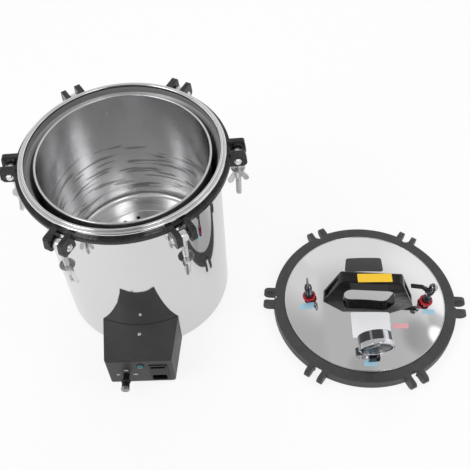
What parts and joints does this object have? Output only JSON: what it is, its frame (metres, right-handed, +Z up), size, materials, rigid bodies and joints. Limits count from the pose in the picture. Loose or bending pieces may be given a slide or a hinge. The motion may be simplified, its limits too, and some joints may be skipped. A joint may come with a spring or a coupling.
{
  "type": "autoclave",
  "caption": "Portable electric steam steriliser pot with swing bolts, inner bucket and control box; its domed lid with handle, gauge and valves lies beside it.",
  "frame": {"origin": "middle of the flat underside of the pot, on the floor", "axes": "+Z up along the pot, +X from the pot to the lid that lies beside it, -Y towards the control box's front"},
  "size_m": [0.7386, 0.4183, 0.338],
  "materials": {
    "polished_steel": "mirror polished stainless sheet",
    "bucket_steel": "satin stainless sheet",
    "black_casting": "black enamelled casting",
    "plated_steel": "bright zinc plated",
    "black_moulding": "fine grained moulding",
    "black_bakelite": "glossy black moulding",
    "brass": "bare",
    "lamp_green": "translucent lens",
    "satin_cap": "spun metal",
    "gasket_rubber": "moulded silicone",
    "chrome": "chrome plated",
    "clear_glass": "flat glass",
    "dial_face": "printed plate",
    "needle": "light paint",
    "red_rubber": "fibre washer"
  },
  "bodies": {
    "pot": {"pot_shell": "polished_steel", "clamp_ring": "black_casting", "hinge_pins": "plated_steel", "bucket_stand": "bucket_steel", "heater_element": "bucket_steel", "heater_glands": "brass", "box_shell": "black_moulding", "box_bracket": "plated_steel", "box_screws": "plated_steel", "lamp_bezel": "black_bakelite", "lamp_lens": "lamp_green", "thermostat": "black_bakelite", "inlet_socket": "black_bakelite", "inlet_pins": "brass"},
    "bucket": {"inner_bucket": "bucket_steel"},
    "lid": {"lid_dome": "polished_steel", "lid_ring": "black_casting", "lid_gasket": "gasket_rubber", "lid_nuts": "brass", "handle": "black_bakelite", "gauge_case": "chrome", "gauge_bezel": "chrome", "gauge_glass": "clear_glass", "gauge_dial": "dial_face", "gauge_stem": "chrome", "valve_washers": "red_rubber", "safety_body": "chrome", "release_body": "chrome", "release_eye": "chrome"},
    "knob": {"thermostat_knob": "black_bakelite", "knob_cap": "satin_cap"},
    "needle": {"gauge_pointer": "needle"},
    "safety_pull": {"safety_cap": "chrome"},
    "release_arm": {"release_lever": "black_casting"},
    "bolt_1": {"eye_bolt_1": "plated_steel"},
    "seat_1": {"washer_1": "plated_steel"},
    "nut_1": {"wing_nut_1": "plated_steel"},
    "bolt_2": {"eye_bolt_2": "plated_steel"},
    "seat_2": {"washer_2": "plated_steel"},
    "nut_2": {"wing_nut_2": "plated_steel"},
    "bolt_3": {"eye_bolt_3": "plated_steel"},
    "seat_3": {"washer_3": "plated_steel"},
    "nut_3": {"wing_nut_3": "plated_steel"},
    "bolt_4": {"eye_bolt_4": "plated_steel"},
    "seat_4": {"washer_4": "plated_steel"},
    "nut_4": {"wing_nut_4": "plated_steel"},
    "bolt_5": {"eye_bolt_5": "plated_steel"},
    "seat_5": {"washer_5": "plated_steel"},
    "nut_5": {"wing_nut_5": "plated_steel"},
    "bolt_6": {"eye_bolt_6": "plated_steel"},
    "seat_6": {"washer_6": "plated_steel"},
    "nut_6": {"wing_nut_6": "plated_steel"}
  },
  "joints": [
    {"name": "bolt_swing_1", "type": "hinge", "parent": "pot", "child": "bolt_1", "pos_m": [0.16931, 0.00355, 0.3135], "axis": [0.0209, -0.9998, 0], "range_deg": [0, 180]},
    {"name": "nut_run_1", "type": "slide", "parent": "bolt_1", "child": "seat_1", "axis": [0, 0, -1], "range_m": [-0.008, 0.0121]},
    {"name": "nut_turn_1", "type": "hinge", "parent": "seat_1", "child": "nut_1", "pos_m": [0.16931, 0.00355, 0.3135], "axis": [0, 0, -1], "range_deg": [-1890, 2880]},
    {"name": "bolt_swing_2", "type": "hinge", "parent": "pot", "child": "bolt_2", "pos_m": [0.08159, 0.1484, 0.3135], "axis": [0.8763, -0.4818, 0], "range_deg": [0, 180]},
    {"name": "nut_run_2", "type": "slide", "parent": "bolt_2", "child": "seat_2", "axis": [0, 0, -1], "range_m": [-0.0111, 0.0121]},
    {"name": "nut_turn_2", "type": "hinge", "parent": "seat_2", "child": "nut_2", "pos_m": [0.08159, 0.1484, 0.3135], "axis": [0, 0, -1], "range_deg": [-2640, 2880]},
    {"name": "bolt_swing_3", "type": "hinge", "parent": "pot", "child": "bolt_3", "pos_m": [-0.08773, 0.14486, 0.3135], "axis": [0.8554, 0.518, 0], "range_deg": [0, 180]},
    {"name": "nut_run_3", "type": "slide", "parent": "bolt_3", "child": "seat_3", "axis": [0, 0, -1], "range_m": [-0.0111, 0.0121]},
    {"name": "nut_turn_3", "type": "hinge", "parent": "seat_3", "child": "nut_3", "pos_m": [-0.08773, 0.14486, 0.3135], "axis": [0, 0, -1], "range_deg": [-2640, 2880]},
    {"name": "bolt_swing_4", "type": "hinge", "parent": "pot", "child": "bolt_4", "pos_m": [-0.16931, -0.00355, 0.3135], "axis": [-0.0209, 0.9998, 0], "range_deg": [0, 180]},
    {"name": "nut_run_4", "type": "slide", "parent": "bolt_4", "child": "seat_4", "axis": [0, 0, -1], "range_m": [-0.0111, 0.0121]},
    {"name": "nut_turn_4", "type": "hinge", "parent": "seat_4", "child": "nut_4", "pos_m": [-0.16931, -0.00355, 0.3135], "axis": [0, 0, -1], "range_deg": [-2640, 2880]},
    {"name": "bolt_swing_5", "type": "hinge", "parent": "pot", "child": "bolt_5", "pos_m": [-0.08159, -0.1484, 0.3135], "axis": [-0.8763, 0.4818, 0], "range_deg": [0, 180]},
    {"name": "nut_run_5", "type": "slide", "parent": "bolt_5", "child": "seat_5", "axis": [0, 0, -1], "range_m": [-0.0111, 0.0121]},
    {"name": "nut_turn_5", "type": "hinge", "parent": "seat_5", "child": "nut_5", "pos_m": [-0.08159, -0.1484, 0.3135], "axis": [0, 0, -1], "range_deg": [-2640, 2880]},
    {"name": "bolt_swing_6", "type": "hinge", "parent": "pot", "child": "bolt_6", "pos_m": [0.08773, -0.14486, 0.3135], "axis": [-0.8554, -0.518, 0], "range_deg": [0, 180]},
    {"name": "nut_run_6", "type": "slide", "parent": "bolt_6", "child": "seat_6", "axis": [0, 0, -1], "range_m": [-0.0111, 0.0121]},
    {"name": "nut_turn_6", "type": "hinge", "parent": "seat_6", "child": "nut_6", "pos_m": [0.08773, -0.14486, 0.3135], "axis": [0, 0, -1], "range_deg": [-2640, 2880]},
    {"name": "bucket_lift", "type": "slide", "parent": "pot", "child": "bucket", "axis": [0, 0, 1], "range_m": [0, 0.26]},
    {"name": "lid_lift", "type": "slide", "parent": "pot", "child": "lid", "axis": [0, 0, 1], "range_m": [0, 0.15]},
    {"name": "knob_turn", "type": "hinge", "parent": "pot", "child": "knob", "pos_m": [-0.02968, -0.20774, 0.032], "axis": [0.0244, 0.9997, 0], "range_deg": [0, 270]},
    {"name": "needle_turn", "type": "hinge", "parent": "lid", "child": "needle", "pos_m": [0.37426, -0.2082, 0.072], "axis": [-0.0224, 0.9866, 0.1616], "range_deg": [0, 270], "stiffness_Nm_per_rad": 0.0005},
    {"name": "safety_lift", "type": "slide", "parent": "lid", "child": "safety_pull", "axis": [-0.121, 0.0149, 0.9925], "range_m": [0, 0.003], "stiffness_N_per_m": 800},
    {"name": "release_tilt", "type": "hinge", "parent": "lid", "child": "release_arm", "pos_m": [0.47493, -0.10016, 0.07024], "axis": [0.1219, 0.9925, 0], "range_deg": [0, 35]}
  ],
  "couplings": [
    {"joint": "nut_run_1", "follows": "nut_turn_1", "m_per_rad": 0.00023873},
    {"joint": "nut_run_2", "follows": "nut_turn_2", "m_per_rad": 0.00023873},
    {"joint": "nut_run_3", "follows": "nut_turn_3", "m_per_rad": 0.00023873},
    {"joint": "nut_run_4", "follows": "nut_turn_4", "m_per_rad": 0.00023873},
    {"joint": "nut_run_5", "follows": "nut_turn_5", "m_per_rad": 0.00023873},
    {"joint": "nut_run_6", "follows": "nut_turn_6", "m_per_rad": 0.00023873}
  ]
}
